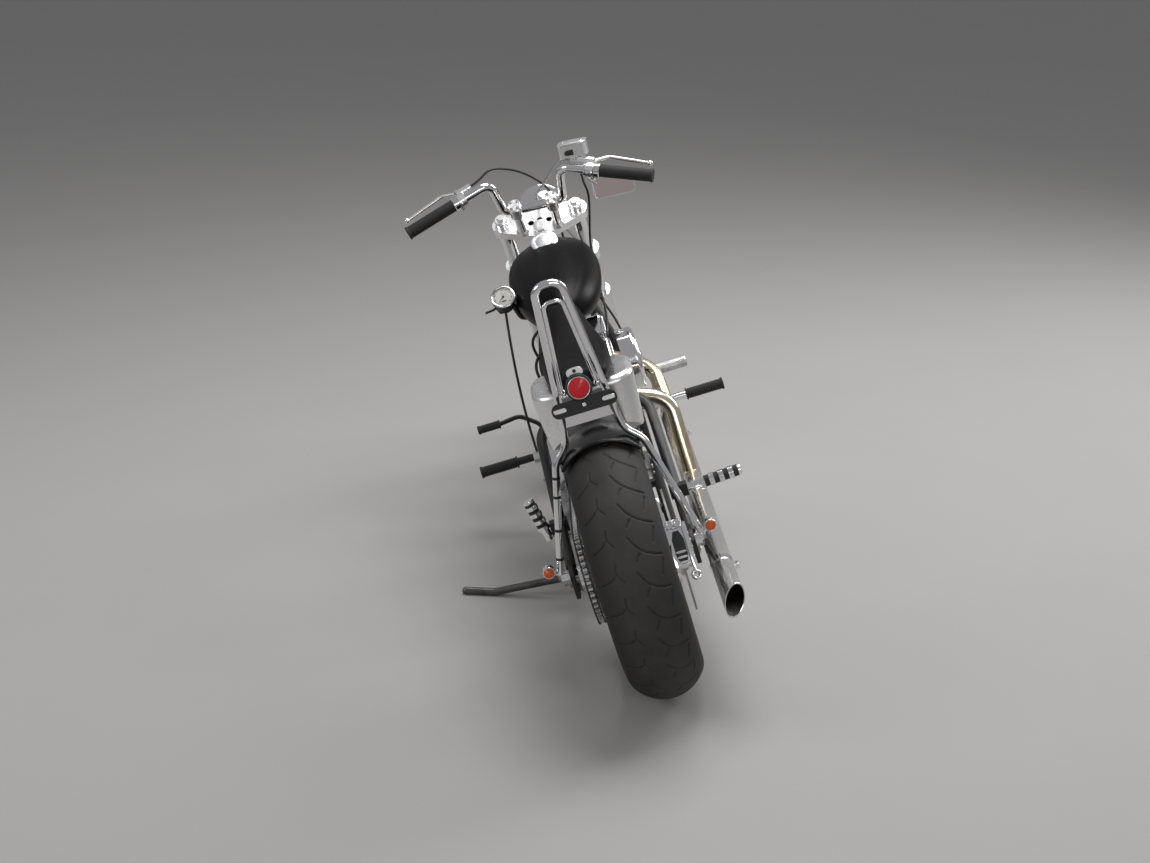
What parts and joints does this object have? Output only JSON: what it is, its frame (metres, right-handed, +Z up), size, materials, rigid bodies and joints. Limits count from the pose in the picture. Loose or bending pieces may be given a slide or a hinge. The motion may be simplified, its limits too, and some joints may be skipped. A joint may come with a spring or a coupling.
{
  "type": "chopper motorcycle",
  "caption": "Hardtail chopper motorcycle with a vee-twin engine, wire wheels and a sissy bar, leaning on its side stand.",
  "frame": {"origin": "on the floor, under the middle of the machine's bounding box", "axes": "+X to the machine's right, +Y forward, +Z up; the machine leans to -X on its side stand"},
  "size_m": [0.9008, 2.1921, 1.1328],
  "materials": {
    "black_paint": "gloss black paint",
    "chrome": "polished chrome",
    "alloy": "polished alloy",
    "cast_fins": "black finned casting",
    "steel": "worn steel",
    "tyre_rubber": "dull tyre rubber",
    "black_rubber": "moulded rubber",
    "seat_leather": "black seat cover",
    "clear_glass": "clear lens",
    "mirror_glass": "mirror glass",
    "red_lens": "red moulded lens",
    "amber_lens": "amber moulded lens",
    "cable_black": "cable sheath"
  },
  "bodies": {
    "frame": {"air_cleaner": "chrome", "carburettor": "alloy", "chain": "steel", "control_cables": "cable_black", "crankcase": "alloy", "cylinder_heads": "alloy", "cylinders": "cast_fins", "exhaust_headers": "chrome", "exhaust_pipe": "chrome", "frame_backbone": "black_paint", "frame_cradle": "black_paint", "frame_rear_stays": "black_paint", "fuel_tank": "black_paint", "gearbox": "alloy", "indicator_lenses": "amber_lens", "indicators": "chrome", "left_control": "black_paint", "oil_tank": "chrome", "passenger_pegs": "chrome", "peg_rubbers": "black_rubber", "primary_cover": "alloy", "rear_axle": "steel", "rear_caliper": "alloy", "rear_fender": "black_paint", "right_control": "chrome", "rocker_boxes": "chrome", "seat": "seat_leather", "sissy_bar": "chrome", "speedometer": "chrome", "speedometer_bracket": "steel", "speedometer_cable": "cable_black", "speedometer_glass": "clear_glass", "tail_lamp": "chrome", "tail_lamp_bracket": "black_paint", "tail_lens": "red_lens", "tank_cap": "chrome"},
    "fork": {"brake_hose": "cable_black", "brake_lever": "alloy", "clutch_lever": "alloy", "fork_sliders": "alloy", "fork_tubes": "chrome", "front_axle": "steel", "front_caliper": "alloy", "grips": "black_rubber", "handlebar": "chrome", "headlamp": "chrome", "headlamp_glass": "clear_glass", "mirror_glass": "mirror_glass", "mirror_head": "chrome", "yokes": "chrome"},
    "front_wheel": {"front_tyre": "tyre_rubber", "front_wheel_rim": "alloy", "front_disc": "steel"},
    "rear_wheel": {"rear_tyre": "tyre_rubber", "rear_wheel_rim": "alloy", "rear_sprocket": "steel", "rear_disc": "steel"},
    "side_stand": {"side_stand": "chrome"}
  },
  "joints": [
    {"name": "steering", "type": "hinge", "parent": "frame", "child": "fork", "pos_m": [-0.06752, 0.32069, 0.85316], "axis": [-0.2326, -0.574, 0.7851], "range_deg": [-25, 35], "deforming": ["control_cables"]},
    {"name": "front_wheel_spin", "type": "hinge", "parent": "fork", "child": "front_wheel", "pos_m": [0.09156, 0.75879, 0.32994], "axis": [0.9694, -0.0714, 0.235], "continuous": true},
    {"name": "rear_wheel_spin", "type": "hinge", "parent": "frame", "child": "rear_wheel", "pos_m": [0.0917, -0.77106, 0.31565], "axis": [0.9588, 0, 0.284], "continuous": true},
    {"name": "side_stand_fold", "type": "hinge", "parent": "frame", "child": "side_stand", "pos_m": [0.04061, -0.30094, 0.07968], "axis": [-0.2527, -0.0005, 0.9676], "range_deg": [0, 95]}
  ]
}
